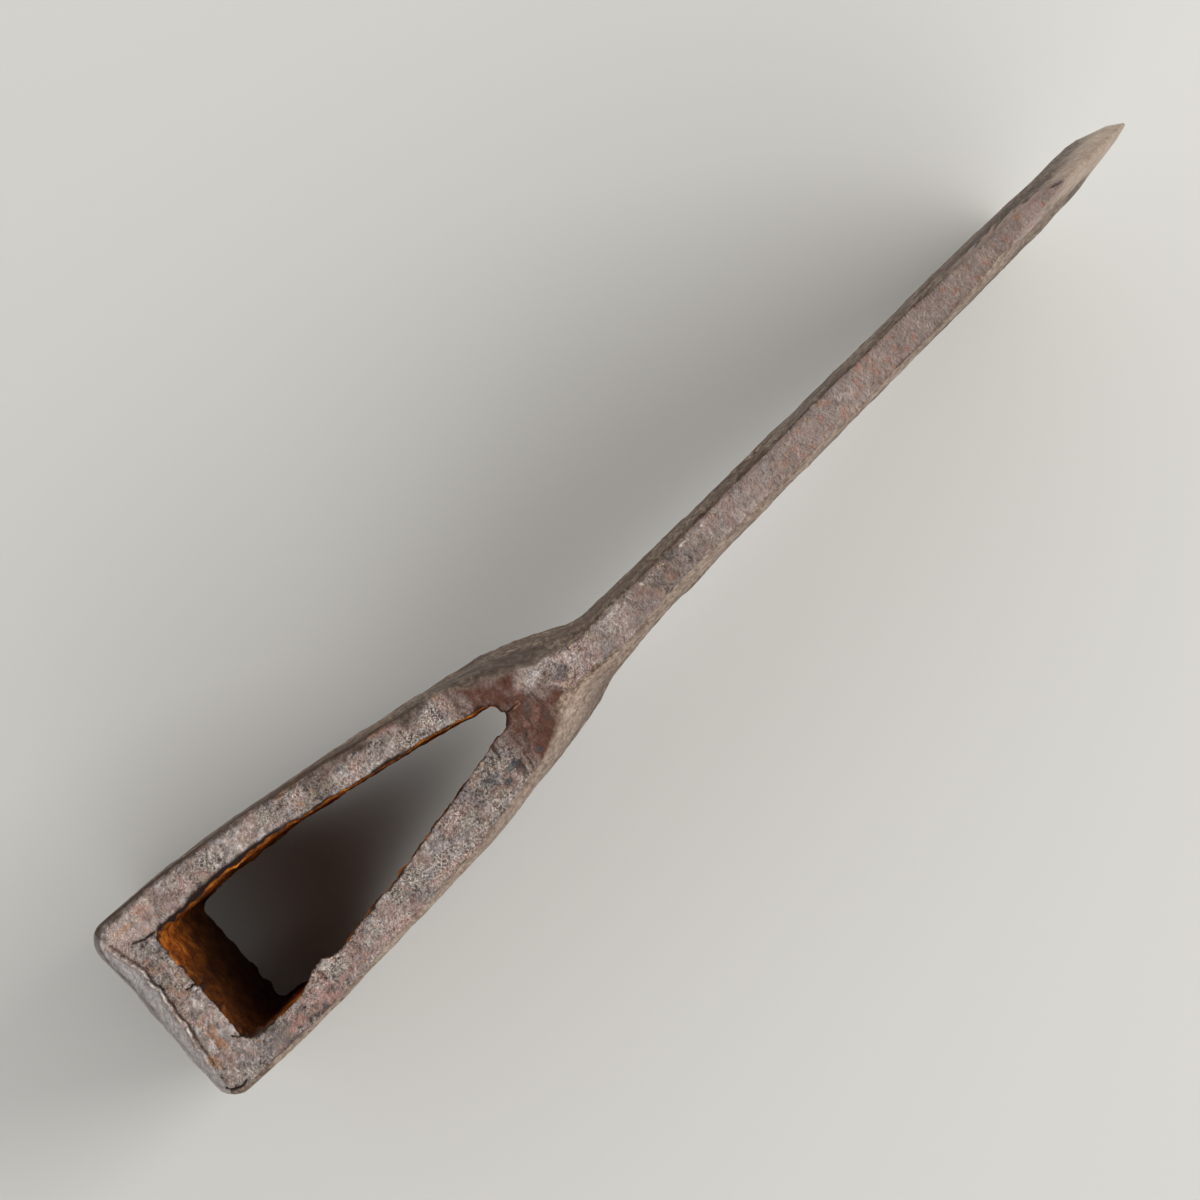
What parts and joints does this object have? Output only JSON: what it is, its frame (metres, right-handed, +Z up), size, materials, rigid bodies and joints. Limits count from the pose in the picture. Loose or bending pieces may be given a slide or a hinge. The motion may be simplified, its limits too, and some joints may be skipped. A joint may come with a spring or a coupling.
{
  "type": "side axe head",
  "caption": "Forged iron side axe head: square poll, tapered open eye and a flared, bevelled blade set a little to one side.",
  "frame": {"origin": "middle of the bottom of the head's box as it stands upside down, on its poll and the toe of its blade", "axes": "+X from the poll to the cutting edge, +Z up along the eye, +Y to the side that the blade leans to"},
  "size_m": [0.2352, 0.0398, 0.139],
  "materials": {
    "iron": "hand-forged iron, pitted, with a dark rust-brown patina and orange rust in the eye"
  },
  "bodies": {
    "root": {"axe_head": "iron"}
  },
  "joints": []
}
